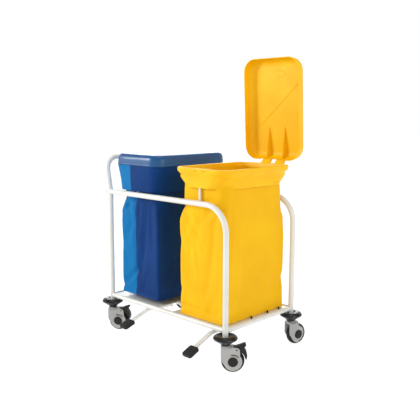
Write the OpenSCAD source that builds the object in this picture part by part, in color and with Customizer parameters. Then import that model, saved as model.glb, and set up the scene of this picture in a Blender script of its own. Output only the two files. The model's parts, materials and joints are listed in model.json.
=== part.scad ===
// Two-bag linen trolley: a bent-tube frame on four swivel casters that carries a yellow unit and a
// blue unit side by side. Each unit is a moulded collar with a bag hanging in it and a rear-hinged
// lid, which a foot pedal lifts through a rear arm and an upright rod.
// Origin: on the floor, midway between the four legs. +X towards the yellow end, +Z up, and the
// pedals on the -Y side. Millimetres.

/* [Frame] */
// Distance between the left and right leg centres
frame_length = 780; // [740:5:860]
// Distance between the front and rear leg centres
frame_depth = 456; // [450:2:500]
// Height of the top rail's centre above the floor
rail_height = 707; // [680:5:760]
// Outside diameter of the legs, top rails and handle
tube_d = 25; // [22:0.5:28]
// Outside diameter of the base rails
base_tube_d = 22; // [18:0.5:25]
// Wall thickness of the tubes
tube_wall = 1.5; // [1:0.1:2.5]
// Centre-line radius of the bend between leg and top rail
rail_bend_r = 115; // [80:5:160]

/* [Push handle] */
// Height of the handle's bar above the top rail, measured up its slope
handle_rise = 171; // [140:1:220]
// Lean of the handle, outwards from upright
handle_lean = 11; // [0:1:25]
// Centre-line radius of the handle's two bends
handle_bend_r = 65; // [45:5:90]

/* [Collars and lids] */
// Distance between the centres of the two units
unit_pitch = 420; // [410:5:440]
// Half of the collar's wall-to-wall width
collar_half_x = 150; // [140:1:154]
// Half of the collar's wall-to-wall depth
collar_half_y = 226; // [222:1:228]
// Height of the collar's lower edge above the floor
collar_bottom = 772; // [765:1:800]
// Height of the collar, lower edge to top
collar_height = 84; // [80:1:100]
// How far a lid opens
lid_open = 87; // [75:1:92]
// Depth of the lid's skirt, crown included
lid_depth = 51; // [44:1:56]

/* [Bags] */
// Half width of a bag
bag_half_x = 142; // [130:1:144]
// Half depth of a bag where it is fullest
bag_half_y = 211; // [200:1:213]
// Underside of the yellow bag above the floor
yellow_bag_bottom = 186; // [186:1:260]
// Underside of the blue bag above the floor
blue_bag_bottom = 207; // [186:1:260]

/* [Casters] */
// Wheel diameter
wheel_d = 100; // [90:2:110]
// Tyre width
tyre_w = 28; // [24:1:32]
// Distance from the swivel axis back to the axle
caster_trail = 32; // [28:1:38]
// Diameter of the round bumper above each caster
bumper_d = 106; // [90:1:120]

/* [Pedals] */
// Sideways distance from a unit's centre to its pedal
pedal_side = 80; // [60:1:90]

/* [Hidden] */
$fn = 64;

leg_x = frame_length / 2;
leg_y = frame_depth / 2;
tube_r = tube_d / 2;
base_r = base_tube_d / 2;
base_z = 179.5;                    // centre height of the base rails
post_r = 6;
post_y = leg_y - tube_r - post_r + 1;
post_top = collar_bottom + 34;
hoop_r = 3;
leg_foot_z = 150;                  // the legs end here, inside the bumpers
weld_in = 7.5;                     // a welded tube runs this far into the one it meets
rail_end_x = -leg_x - tube_r - 3.5; // left end of the top rails
cap_t = 3;
mitre = 1;                         // the left legs end this far below the rail's centre
handle_foot = 4;                   // and the leaning handle starts this far above it

unit_y = 5;                        // the collars' centre, front to back
pair_x = 10;                       // centre of the pair of units
yellow_x = pair_x + unit_pitch / 2;
blue_x = pair_x - unit_pitch / 2;
collar_top = collar_bottom + collar_height;
collar_wall = 3;
lip_out_x = 10;                    // how far the lip stands out of the collar's wall
lip_out_y = 7;
lip_band = 14;                     // height of the lip's outer face
lip_slope = 20;                    // height of the slope below it
corner_low_r = 95;                 // corner radius at the collar's lower edge
corner_mid_r = 70;
corner_lip_r = 60;
bag_wall = 2.5;
lip_y = unit_y + collar_half_y + lip_out_y;

lid_y = 7.5;                       // a closed lid's centre, front to back
lid_half_x = collar_half_x + lip_out_x + 4.5;
lid_half_y = 239.5;
lid_corner_r = 65;
lid_wall = 3;
lid_base_z = collar_top - 10;      // a closed lid caps the lip
hinge_y = 274;
hinge_z = collar_top - 14;
hinge_half_w = 65;                 // half length of the lid's hinge barrel
hinge_notch = 17;                  // half width of the notch in it
barrel_r = 8;
pin_r = 3;
running_gap = 0.05;
ear_t = 5;

crank_r = 20;                      // lift pin's distance from the hinge
crank_angle = 60;                  // how far below level it starts
lift_gap = 2.5;
lift_pin_y = hinge_y - crank_r * cos(crank_angle);
lift_pin_z = hinge_z - crank_r * sin(crank_angle);
lift_stroke = crank_r * (sin(lid_open - crank_angle) + sin(crank_angle));

shelf_z = base_z + 3.5;
shelf_t = 2;
cross_r = 8;
cross_z = shelf_z - cross_r;
cross_y = [-80, 90];
shaft_y = cross_y[0];
shaft_z = 152;
shaft_r = 8;
rod_y = 258;
rod_r = 4;
arm_t = 16;                        // height of the rear arm
rod_foot_gap = 1.5;
rear_arm = rod_y - shaft_y;
pedal_travel = asin(lift_stroke / rear_arm);
rod_foot_z = shaft_z - rear_arm * sin(pedal_travel) + arm_t / 2 + rod_foot_gap;
rod_top_z = lift_pin_z - pin_r - lift_gap;

// Front arm of a lever with the lid closed: bend below the base rail, and the pedal's centre
knee_y = -226;
knee_z = 159.5;
pad_y = -350;
pad_z = 118;
pad_slope = atan2(knee_z - pad_z, knee_y - pad_y);
bar_w = 20;
bar_t = 8;

wheel_r = wheel_d / 2;
fork_gap = 2;                      // tyre to cheek
cheek_t = 5;
cheek_y = tyre_w / 2 + fork_gap;
yoke_z = wheel_d + 3.5;
yoke_top = 117;
stem_r = 8;
plug_h = 17;                       // how far a caster's plug stands up inside the leg
axle_r = 6;
brake_x = 48;                      // brake pedal's pivot, from the swivel axis
brake_z = 102.5;
brake_travel = 6;                  // the guard then presses on the tyre

// Where each caster stands and which way it trails
casters = [[leg_x, -leg_y, 44], [-leg_x, -leg_y, 34], [leg_x, leg_y, 76], [-leg_x, leg_y, 58]];

steel = [0.93, 0.93, 0.90];
yellow = [0.98, 0.78, 0.16];
blue = [0.10, 0.36, 0.62];

// ---------------------------------------------------------------- shared shapes

// A tube along +Z from the origin
module tube(r, length) {
    difference() {
        cylinder(r = r, h = length);
        translate([0, 0, -1]) cylinder(r = r - tube_wall, h = length + 2);
    }
}

// A tube bent in the XZ plane about the origin, from the +X axis up to the +Z axis
module tube_bend(r, bend_r, angle = 90) {
    rotate([90, 0, 0])
        rotate_extrude(angle = angle)
            translate([bend_r, 0])
                difference() {
                    circle(r);
                    circle(r - tube_wall);
                }
}

// The four round corners of an upright slab, which a hull joins
module corners(half_x, half_y, corner, t) {
    for (sx = [-1, 1], sy = [-1, 1])
        translate([sx * (half_x - corner), sy * (half_y - corner), 0])
            cylinder(r = corner, h = t, $fn = 32);
}

// ---------------------------------------------------------------- frame

// One bent tube: the right leg, the bend and the top rail
module side_frame(side) {
    color(steel) translate([0, side * leg_y, 0]) {
        translate([leg_x, 0, leg_foot_z])
            tube(tube_r, rail_height - rail_bend_r - leg_foot_z);
        translate([leg_x - rail_bend_r, 0, rail_height - rail_bend_r])
            tube_bend(tube_r, rail_bend_r);
        translate([rail_end_x, 0, rail_height])
            rotate([0, 90, 0]) tube(tube_r, leg_x - rail_bend_r - rail_end_x);
    }
}

module left_leg(side) {
    color(steel) translate([-leg_x, side * leg_y, leg_foot_z])
        tube(tube_r, rail_height - mitre - leg_foot_z);
}

module push_handle() {
    bar = leg_y - handle_bend_r;
    color(steel) translate([-leg_x, 0, rail_height]) rotate([0, -handle_lean, 0]) {
        for (side = [-1, 1]) {
            translate([0, side * leg_y, handle_foot])
                tube(tube_r, handle_rise - handle_bend_r - handle_foot);
            translate([0, side * bar, handle_rise - handle_bend_r])
                rotate([0, 0, side * 90]) tube_bend(tube_r, handle_bend_r);
        }
        translate([0, -bar, handle_rise]) rotate([-90, 0, 0]) tube(tube_r, 2 * bar);
    }
}

module tube_end_caps() {
    color("gray")
        for (side = [-1, 1])
            translate([rail_end_x - cap_t, side * leg_y, rail_height]) rotate([0, 90, 0])
                cylinder(r = tube_r, h = cap_t);
}

module base_rail_x(side) {
    length = frame_length - 2 * (tube_r - weld_in);
    color(steel) translate([-length / 2, side * leg_y, base_z]) rotate([0, 90, 0])
        tube(base_r, length);
}

module base_rail_y(side) {
    length = frame_depth - 2 * (tube_r - weld_in);
    color(steel) translate([side * leg_x, -length / 2, base_z]) rotate([-90, 0, 0])
        tube(base_r, length);
}

module cross_tubes() {
    length = frame_length - 2 * (base_r - weld_in + 1);
    color(steel)
        for (y = cross_y)
            translate([-length / 2, y, cross_z]) rotate([0, 90, 0]) tube(cross_r, length);
}

module bag_shelf(side) {
    inner = 48;
    outer = leg_x - base_r - 1;
    depth = frame_depth - 2 * (base_r + 0.5);
    color(steel) translate([side * (inner + outer) / 2, 0, shelf_z + shelf_t / 2])
        cube([outer - inner, depth, shelf_t], center = true);
}

// Rubber studs that keep a bag's foot on its shelf
module shelf_studs() {
    color("dimgray")
        for (x = [yellow_x + bag_half_x + 8, blue_x - bag_half_x - 8], y = [-36, 77, 159])
            translate([x, y, shelf_z + shelf_t]) cylinder(r = 4, h = 11, $fn = 32);
}

// Posts welded to the inside of the top rails, up into the collars
module collar_posts() {
    color(steel)
        for (x = [yellow_x, blue_x], side = [-1, 1])
            translate([x, side * post_y, rail_height - 14])
                cylinder(r = post_r, h = post_top - rail_height + 14);
}

// Wire hoops on the posts, inside the collars, that the bags' hems fold over
module bag_hoops() {
    half_x = collar_half_x - collar_wall - 2 * hoop_r;
    bend_r = 76;
    color("silver")
        for (x = [yellow_x, blue_x])
            translate([x, 0, post_top + hoop_r])
                for (turn = [0, 180])
                    rotate([0, 0, turn]) {
                        translate([-half_x + bend_r, -post_y, 0]) rotate([0, 90, 0])
                            cylinder(r = hoop_r, h = 2 * (half_x - bend_r));
                        translate([half_x, -post_y + bend_r, 0]) rotate([-90, 0, 0])
                            cylinder(r = hoop_r, h = 2 * (post_y - bend_r));
                        for (side = [0, 1])
                            mirror([side, 0, 0])
                                translate([half_x - bend_r, -post_y + bend_r, 0])
                                    rotate([0, 0, -90])
                                        rotate_extrude(angle = 90)
                                            translate([bend_r, 0]) circle(hoop_r);
                    }
}

// ---------------------------------------------------------------- collars and bags

// The collar's outline, drawn in by a wall thickness: flat walls whose corners open from a wide
// radius at the lower edge to a tight one at the lip
module collar_shape(inset, lip) {
    low = collar_bottom - (inset > 0 ? 1 : 0);
    high = collar_top - lip_band - lip_slope;
    hull() {
        translate([0, 0, low])
            corners(collar_half_x - inset, collar_half_y - inset, corner_low_r - inset, 1);
        translate([0, 0, high])
            corners(collar_half_x - inset, collar_half_y - inset, corner_mid_r - inset, 1);
    }
    hull() {
        translate([0, 0, high])
            corners(collar_half_x - inset, collar_half_y - inset, corner_mid_r - inset, 1);
        translate([0, 0, collar_top - lip_band])
            corners(collar_half_x + lip_out_x * lip - inset, collar_half_y + lip_out_y * lip - inset,
                corner_lip_r - inset, lip_band + (inset > 0 ? 1 : 0));
    }
}

module collar(x, tint) {
    color(tint) translate([x, unit_y, 0])
        difference() {
            collar_shape(0, 1);
            collar_shape(collar_wall, 1);
        }
}

// A bag hanging between its posts: square at the foot, fullest below the top rail, and drawn in
// to the hoop's round corners at the neck
module bag_shape(bottom, inset) {
    full_z = collar_bottom - 170;
    neck_z = rail_height - 16;
    square_r = 28;
    neck_r = 60;
    neck_x = bag_half_x - 3;
    neck_y = post_y - post_r - 1.5;
    rise = inset > 0 ? 1 : 0;
    hull() {
        translate([0, 0, bottom + inset])
            corners(bag_half_x - 2 - inset, bag_half_y - 4 - inset, square_r - inset, 1);
        translate([0, 0, full_z])
            corners(bag_half_x - inset, bag_half_y - inset, square_r - inset, 1);
    }
    hull() {
        translate([0, 0, full_z])
            corners(bag_half_x - inset, bag_half_y - inset, square_r - inset, 1);
        translate([0, 0, neck_z])
            corners(neck_x - inset, neck_y - inset, neck_r - inset, 1);
    }
    hull()
        translate([0, 0, neck_z])
            corners(neck_x - inset, neck_y - inset, neck_r - inset, post_top - neck_z + rise);
}

module bag(x, bottom, tint) {
    color(tint) translate([x, 0, 0])
        difference() {
            bag_shape(bottom, 0);
            bag_shape(bottom, bag_wall);
        }
}

// ---------------------------------------------------------------- lids

// The lid's outline, drawn in by a wall thickness: a cap with a little draft and a rounded crown
module lid_shape(inset) {
    low = inset > 0 ? 1 : 0;
    draw = [0, 3, 9, 22];                  // how far each level is drawn in
    level = [0, lid_depth - 24, lid_depth - 9, lid_depth - 1];
    hull()
        for (i = [0 : 3])
            translate([0, 0, lid_base_z + level[i] - (i == 0 ? low : inset)])
                corners(lid_half_x - draw[i] - inset, lid_half_y - draw[i] - inset,
                    lid_corner_r - draw[i] - inset, i == 0 ? 12 + low : 1);
}

// Moulded lid, drawn closed: shell, two ribs inside, and a slanting web behind that carries a
// notched hinge barrel. The rear skirt is cut away below the web to pass the hinge brackets.
module lid_closed(x) {
    rear = lid_y + lid_half_y;
    rib_len = 154;
    skirt_gap = hinge_half_w + 11;
    gap_top = collar_top + 6;
    difference() {
        union() {
            difference() {
                translate([x, lid_y, 0]) lid_shape(0);
                translate([x, lid_y, 0]) lid_shape(lid_wall);
            }
            for (side = [-1, 1])
                translate([x + side * 48 - 1.5, rear - 5, lid_base_z + lid_depth - 4])
                    rotate([0, 90, 0]) linear_extrude(3)
                        polygon([[0, 0], [lid_depth - 19, 0], [0, -rib_len]]);
            translate([x - hinge_half_w, hinge_y, hinge_z]) rotate([0, 90, 0])
                cylinder(r = barrel_r, h = 2 * hinge_half_w);
            translate([x - hinge_half_w + 1, 0, 0])
                rotate([90, 0, 90]) linear_extrude(2 * hinge_half_w - 2)
                    polygon([[rear - 2.5, gap_top + 1], [rear - 6.5, gap_top + 15],
                        [hinge_y + 5, hinge_z + 5], [hinge_y - 6, hinge_z - 2]]);
            // cheeks beside the notch that carry the lift pin
            for (side = [-1, 1])
                translate([x + side * (hinge_notch + 2.5) - 3.5, hinge_y, hinge_z])
                    rotate([crank_angle, 0, 0]) translate([0, -crank_r, -6])
                        cube([7, crank_r - 1, 12]);
        }
        translate([x - hinge_notch - 7, lift_pin_y, lift_pin_z]) rotate([0, 90, 0])
            cylinder(r = pin_r, h = 2 * hinge_notch + 14);
        translate([x - hinge_half_w - 1, hinge_y, hinge_z]) rotate([0, 90, 0])
            cylinder(r = pin_r + running_gap, h = 2 * hinge_half_w + 2);
        translate([x - hinge_notch, rear + 0.5, hinge_z - crank_r - 10])
            cube([2 * hinge_notch, hinge_y, gap_top + 18 - hinge_z + crank_r + 10]);
        translate([x - skirt_gap, rear - 8, lid_base_z - 1])
            cube([2 * skirt_gap, 9, gap_top - lid_base_z + 1]);
    }
}

module lift_pin_closed(x) {
    color("silver") translate([x - hinge_notch - 6, lift_pin_y, lift_pin_z]) rotate([0, 90, 0])
        cylinder(r = pin_r, h = 2 * hinge_notch + 12);
}

// Turns what it is given about the lid's hinge
module about_hinge(angle) {
    translate([0, hinge_y, hinge_z]) rotate([-angle, 0, 0])
        translate([0, -hinge_y, -hinge_z]) children();
}

module yellow_lid() {
    color(yellow) about_hinge(lid_open) lid_closed(yellow_x);
}

module blue_lid() {
    color(blue) lid_closed(blue_x);
}

// Two plates a unit, on the lip's rear face, each with an ear outside the lid's barrel
module hinge_brackets() {
    plate_t = 3;
    plate_w = 26;
    color("gray")
        for (x = [yellow_x, blue_x], side = [-1, 1])
            difference() {
                union() {
                    translate([x + side * (hinge_half_w + 0.5 + ear_t - plate_w / 2) - plate_w / 2,
                        lip_y, collar_top - lip_band + 1])
                        cube([plate_w, plate_t, lip_band - 2]);
                    translate([x + side * (hinge_half_w + 0.5 + ear_t / 2) - ear_t / 2, 0, 0])
                        rotate([90, 0, 90]) linear_extrude(ear_t)
                            polygon([[lip_y, collar_top - lip_band + 1], [lip_y, collar_top - 1],
                                [hinge_y, hinge_z + barrel_r], [hinge_y, hinge_z - barrel_r]]);
                    translate([x + side * (hinge_half_w + 0.5 + ear_t / 2) - ear_t / 2, hinge_y,
                        hinge_z])
                        rotate([0, 90, 0]) cylinder(r = barrel_r, h = ear_t);
                }
                translate([x + side * (hinge_half_w + 0.5 + ear_t / 2) - ear_t, hinge_y, hinge_z])
                    rotate([0, 90, 0]) cylinder(r = pin_r, h = 2 * ear_t);
            }
}

module hinge_pins() {
    half = hinge_half_w + 0.5 + ear_t;
    color("silver")
        for (x = [yellow_x, blue_x])
            translate([x - half, hinge_y, hinge_z]) rotate([0, 90, 0]) {
                cylinder(r = pin_r, h = 2 * half);
                translate([0, 0, -2]) cylinder(r = 5, h = 2);
                translate([0, 0, 2 * half]) cylinder(r = 5, h = 2);
            }
}

module bracket_screws() {
    color("silver")
        for (x = [yellow_x, blue_x], side = [-1, 1])
            translate([x + side * (hinge_half_w - 10), lip_y + 3, collar_top - lip_band / 2])
                rotate([-90, 0, 0]) cylinder(r = 4, h = 2.2, $fn = 32);
}

// ---------------------------------------------------------------- pedals and rods

// A lever, drawn with its lid closed: cross shaft, front bar and rear arm in one welding
module lever_closed(x) {
    color(steel) {
        translate([x - 14, shaft_y, shaft_z]) rotate([0, 90, 0])
            cylinder(r = shaft_r, h = pedal_side + 14 + bar_w / 2 + 4);
        translate([x + pedal_side - bar_w / 2, 0, 0])
            rotate([90, 0, 90]) linear_extrude(bar_w)
                polygon([[shaft_y, shaft_z - bar_t / 2], [knee_y + 1, knee_z - bar_t / 2],
                    [pad_y - 24, pad_z - 24 * tan(pad_slope) - bar_t / 2],
                    [pad_y - 24, pad_z - 24 * tan(pad_slope) + bar_t / 2],
                    [knee_y - 1, knee_z + bar_t / 2], [shaft_y, shaft_z + bar_t / 2]]);
        translate([x, shaft_y, shaft_z]) rotate([-pedal_travel, 0, 0])
            translate([-5, 0, -arm_t / 2]) cube([10, rear_arm / cos(pedal_travel) + 8, arm_t]);
    }
}

module pedal_pad_closed(x) {
    pad_w = 52;
    pad_l = 60;
    pad_t = 18;
    color([0.13, 0.14, 0.13])
        difference() {
            translate([x + pedal_side, pad_y, pad_z]) rotate([pad_slope, 0, 0])
                cube([pad_w, pad_l, pad_t], center = true);
            translate([x + pedal_side - bar_w / 2, 0, 0])
                rotate([90, 0, 90]) linear_extrude(bar_w)
                    polygon([[knee_y + 1, knee_z - bar_t / 2],
                        [pad_y - 24, pad_z - 24 * tan(pad_slope) - bar_t / 2],
                        [pad_y - 24, pad_z - 24 * tan(pad_slope) + bar_t / 2],
                        [knee_y - 1, knee_z + bar_t / 2]]);
        }
}

// Turns what it is given about the lever's shaft
module about_shaft(angle) {
    translate([0, shaft_y, shaft_z]) rotate([angle, 0, 0])
        translate([0, -shaft_y, -shaft_z]) children();
}

module pedal_brackets() {
    plate_t = 5;
    color(steel)
        for (x = [yellow_x, blue_x], dx = [16, pedal_side - 28])
            translate([x + dx, shaft_y, 0])
                difference() {
                    translate([0, -15, shaft_z - 14])
                        cube([plate_t, 30, cross_z - shaft_z + 14 - cross_r + 3]);
                    translate([-1, 0, shaft_z]) rotate([0, 90, 0])
                        cylinder(r = shaft_r + running_gap, h = plate_t + 2);
                }
}

module lift_rod(x, rise) {
    color("silver") translate([x, 0, rise]) {
        translate([0, rod_y, rod_foot_z]) cylinder(r = rod_r, h = rod_top_z - 3 - rod_foot_z);
        translate([0, rod_y, rod_foot_z]) cylinder(r = 8, h = 4);
        translate([-11, rod_y - 7, rod_top_z - 4]) cube([22, 17, 4]);
    }
}

module rod_guides() {
    color("dimgray")
        for (x = [yellow_x, blue_x], z = [base_z, rail_height])
            difference() {
                translate([x - 9, leg_y + (z == base_z ? base_r : tube_r) - 1.5, z - 7])
                    cube([18, rod_y + 9 - leg_y - (z == base_z ? base_r : tube_r) + 1.5, 14]);
                translate([x, rod_y, z - 8]) cylinder(r = rod_r + running_gap, h = 16);
            }
}

// ---------------------------------------------------------------- casters

module at_caster(i) {
    translate([casters[i][0], casters[i][1], 0]) rotate([0, 0, casters[i][2]]) children();
}

// Lays an XZ outline across the wheel, from y to y + t
module across(y, t) {
    translate([0, y + t, 0]) rotate([90, 0, 0]) linear_extrude(t) children();
}

module caster_stems() {
    color("silver")
        for (c = casters)
            translate([c[0], c[1], 0]) {
                translate([0, 0, yoke_z + 0.5]) cylinder(r = stem_r, h = leg_foot_z - yoke_z - 0.5);
                translate([0, 0, leg_foot_z]) cylinder(r = tube_r - tube_wall, h = plug_h);
            }
}

// Soft bumpers, dished towards the leg
module caster_bumpers() {
    r = bumper_d / 2;
    color([0.08, 0.12, 0.13])
        for (c = casters)
            translate([c[0], c[1], 0]) rotate_extrude()
                polygon([[stem_r, 118], [19, 118], [21, 123], [r - 8, 141], [r - 2, 144.5],
                    [r, 149], [r - 2, 154], [r - 8, 159], [r - 17, 161.5], [r - 25, 160],
                    [r - 33, 156], [tube_r + 0.5, 153], [tube_r + 0.5, leg_foot_z],
                    [stem_r, leg_foot_z]]);
}

// One cheek of a fork: a disc round the axle, cut off behind it unless it carries a brake
module cheek_outline(braked) {
    difference() {
        union() {
            difference() {
                translate([caster_trail, wheel_r]) circle(r = wheel_r - 10);
                if (!braked)
                    translate([caster_trail + 4, 0]) square([wheel_r, wheel_d]);
            }
            translate([caster_trail, wheel_r]) circle(r = 23);
            if (braked)
                polygon([[-20, yoke_top - 3], [-20, wheel_r + 8], [-6, wheel_r - 10],
                    [caster_trail, wheel_r], [caster_trail + 33, wheel_r + 22],
                    [brake_x + 14, 94], [brake_x + 6, 111], [28, yoke_top - 3]]);
            else
                polygon([[-20, yoke_top - 3], [-20, wheel_r + 8], [-6, wheel_r - 10],
                    [caster_trail, wheel_r], [caster_trail + 4, wheel_r + 36],
                    [28, yoke_top - 3]]);
        }
        // crescent window above the hub
        if (braked)
            intersection() {
                translate([caster_trail, wheel_r])
                    difference() {
                        circle(r = 34);
                        translate([4, -4]) circle(r = 31);
                    }
                translate([caster_trail - 27, wheel_r + 12]) square([52, 40]);
            }
        translate([caster_trail, wheel_r]) circle(r = axle_r);
    }
}

module fork(i, braked) {
    color([0.62, 0.62, 0.61]) at_caster(i)
        difference() {
            union() {
                for (side = [-1, 1])
                    across(side > 0 ? cheek_y : -cheek_y - cheek_t, cheek_t)
                        cheek_outline(braked);
                translate([-20, -cheek_y - cheek_t, yoke_z])
                    cube([48, 2 * (cheek_y + cheek_t), yoke_top - 3 - yoke_z]);
                translate([0, 0, yoke_z]) cylinder(r = 19, h = yoke_top - yoke_z);
            }
            translate([0, 0, yoke_z - 1])
                cylinder(r = stem_r + running_gap, h = yoke_top - yoke_z + 2);
            if (braked)
                translate([brake_x, -40, brake_z]) rotate([-90, 0, 0])
                    cylinder(r = pin_r + running_gap, h = 80);
        }
}

module axle(i) {
    color("silver") at_caster(i)
        translate([caster_trail, -cheek_y - cheek_t, wheel_r]) rotate([-90, 0, 0])
            cylinder(r = axle_r, h = 2 * (cheek_y + cheek_t));
}

module tyre(i) {
    color([0.10, 0.10, 0.10]) at_caster(i)
        translate([caster_trail, 0, wheel_r]) rotate([90, 0, 0]) rotate_extrude()
            translate([wheel_r - 11, 0])
                intersection() {
                    translate([0, -tyre_w / 2]) square([11, tyre_w]);
                    translate([11 - tyre_w * 0.75, 0]) circle(r = tyre_w * 0.75);
                }
}

module hub(i) {
    color([0.80, 0.80, 0.79]) at_caster(i)
        translate([caster_trail, 0, wheel_r]) rotate([90, 0, 0]) rotate_extrude()
            polygon([[axle_r + running_gap, -13], [16, -13], [18, -6], [wheel_r - 16, -6],
                [wheel_r - 14, -12], [wheel_r - 11, -12], [wheel_r - 11, 12], [wheel_r - 14, 12],
                [wheel_r - 16, 6], [18, 6], [16, 13], [axle_r + running_gap, 13]]);
}

module hub_caps(i) {
    color([0.12, 0.12, 0.12]) at_caster(i)
        for (side = [0, 1])
            translate([caster_trail, 0, wheel_r]) rotate([90, 0, 180 * side])
                translate([0, 0, cheek_y + cheek_t])
                    rotate_extrude()
                        polygon([[0, 0], [21, 0], [20, 3.5], [15, 5], [0, 5.5]]);
}

// Brake pedal: a tread over the wheel on two trunnions, with a guard round the wheel's back that
// clears the tyre at rest and touches it when pressed
module brake_pedal(i) {
    half = cheek_y - 0.5;
    color([0.09, 0.09, 0.09]) at_caster(i) translate([brake_x, 0, brake_z]) {
        translate([0, -cheek_y - cheek_t + 1, 0]) rotate([-90, 0, 0])
            cylinder(r = pin_r, h = 2 * (cheek_y + cheek_t - 1));
        across(-half, 2 * half)
            difference() {
                polygon([[-4, 5], [-2, 15], [34, 25], [41, 23], [40, 16], [32, 8], [41, -8],
                    [46, -28], [42, -46], [10, -44]]);
                for (pressed = [0, brake_travel])
                    rotate(pressed) translate([caster_trail - brake_x, wheel_r - brake_z])
                        circle(r = wheel_r + (pressed > 0 ? 1 : 3.5));
            }
    }
}

// ---------------------------------------------------------------- nodes

side_frame(-1);  // side_frame_front
side_frame(1);  // side_frame_rear
left_leg(-1);  // leg_front_left
left_leg(1);  // leg_rear_left
push_handle();
tube_end_caps();
base_rail_x(-1);  // base_rail_front
base_rail_x(1);  // base_rail_rear
base_rail_y(-1);  // base_rail_left
base_rail_y(1);  // base_rail_right
cross_tubes();
bag_shelf(1);  // bag_shelf_yellow
bag_shelf(-1);  // bag_shelf_blue
shelf_studs();
collar_posts();
bag_hoops();
collar(yellow_x, yellow);  // yellow_collar
collar(blue_x, blue);  // blue_collar
bag(yellow_x, yellow_bag_bottom, yellow);  // yellow_bag
bag(blue_x, blue_bag_bottom, blue);  // blue_bag
hinge_brackets();
hinge_pins();
bracket_screws();
pedal_brackets();
rod_guides();
caster_stems();
caster_bumpers();
yellow_lid();
blue_lid();
about_hinge(lid_open) lift_pin_closed(yellow_x);  // yellow_lift_pin
lift_pin_closed(blue_x);  // blue_lift_pin
lift_rod(yellow_x, lift_stroke);  // yellow_lift_rod
lift_rod(blue_x, 0);  // blue_lift_rod
about_shaft(pedal_travel) lever_closed(yellow_x);  // yellow_pedal_lever
lever_closed(blue_x);  // blue_pedal_lever
about_shaft(pedal_travel) pedal_pad_closed(yellow_x);  // yellow_pedal_pad
pedal_pad_closed(blue_x);  // blue_pedal_pad
fork(0, true);  // fork_front_right
fork(1, true);  // fork_front_left
fork(2, false);  // fork_rear_right
fork(3, false);  // fork_rear_left
axle(0);  // axle_front_right
axle(1);  // axle_front_left
axle(2);  // axle_rear_right
axle(3);  // axle_rear_left
tyre(0);  // tyre_front_right
tyre(1);  // tyre_front_left
tyre(2);  // tyre_rear_right
tyre(3);  // tyre_rear_left
hub(0);  // hub_front_right
hub(1);  // hub_front_left
hub(2);  // hub_rear_right
hub(3);  // hub_rear_left
hub_caps(0);  // hub_caps_front_right
hub_caps(1);  // hub_caps_front_left
hub_caps(2);  // hub_caps_rear_right
hub_caps(3);  // hub_caps_rear_left
brake_pedal(0);  // brake_pedal_front_right
brake_pedal(1);  // brake_pedal_front_left
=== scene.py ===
"""Looks of the two-bag linen trolley: materials, moulded lids and collars, hanging bags, casters.

Places come from the frame's nodes and joints; moulded details, the cloth's cut and its folds are
set here. Metres; the units stand along X, the pedals are on the -Y side.
"""

import json
import math

import bmesh
import bpy
from mathutils import Matrix, Quaternion, Vector, noise


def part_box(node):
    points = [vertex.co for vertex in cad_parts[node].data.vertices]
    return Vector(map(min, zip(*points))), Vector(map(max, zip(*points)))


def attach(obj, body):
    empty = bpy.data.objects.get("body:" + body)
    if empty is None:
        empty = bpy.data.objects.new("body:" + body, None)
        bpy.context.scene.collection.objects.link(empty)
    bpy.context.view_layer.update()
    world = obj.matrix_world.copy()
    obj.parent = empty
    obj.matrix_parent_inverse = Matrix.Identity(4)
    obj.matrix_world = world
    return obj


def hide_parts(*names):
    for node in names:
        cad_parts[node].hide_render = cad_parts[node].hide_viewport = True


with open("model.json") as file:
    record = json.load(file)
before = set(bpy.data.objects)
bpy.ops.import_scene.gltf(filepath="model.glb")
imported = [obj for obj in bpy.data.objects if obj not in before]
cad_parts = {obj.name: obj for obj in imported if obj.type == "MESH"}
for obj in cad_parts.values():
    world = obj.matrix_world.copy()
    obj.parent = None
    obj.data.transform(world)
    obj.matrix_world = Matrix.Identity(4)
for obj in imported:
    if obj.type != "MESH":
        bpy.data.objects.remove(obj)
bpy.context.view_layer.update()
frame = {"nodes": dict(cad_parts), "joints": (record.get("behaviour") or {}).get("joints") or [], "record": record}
scene = bpy.context.scene
JOINTS = {j["name"]: j for j in frame["joints"]}
MM = 0.001


# ---------------------------------------------------------------- camera, floor and light

LENS_MM = 53.74
CAMERA_AT = Vector((2.1148, -2.0974, 1.0786))
AZIMUTH, ELEVATION, ROLL = 44.20, 8.55, 0.18


def add_camera():
    a, e = math.radians(AZIMUTH), math.radians(ELEVATION)
    back = Vector((math.sin(a) * math.cos(e), -math.cos(a) * math.cos(e), math.sin(e)))
    data = bpy.data.cameras.new("camera")
    data.lens = LENS_MM
    data.sensor_width = 36
    camera = bpy.data.objects.new("camera", data)
    scene.collection.objects.link(camera)
    camera.location = CAMERA_AT
    camera.rotation_mode = "QUATERNION"
    turn = Quaternion((0, 0, 1), math.radians(ROLL))
    camera.rotation_quaternion = (-back).to_track_quat("-Z", "Y") @ turn
    scene.camera = camera


def add_softbox(name, at, aim, size, watts):
    data = bpy.data.lights.new(name, "AREA")
    data.shape = "RECTANGLE"
    data.size, data.size_y = size
    data.energy = watts
    lamp = bpy.data.objects.new(name, data)
    scene.collection.objects.link(lamp)
    lamp.location = at
    lamp.rotation_mode = "QUATERNION"
    lamp.rotation_quaternion = (Vector(aim) - Vector(at)).to_track_quat("-Z", "Y")


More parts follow.
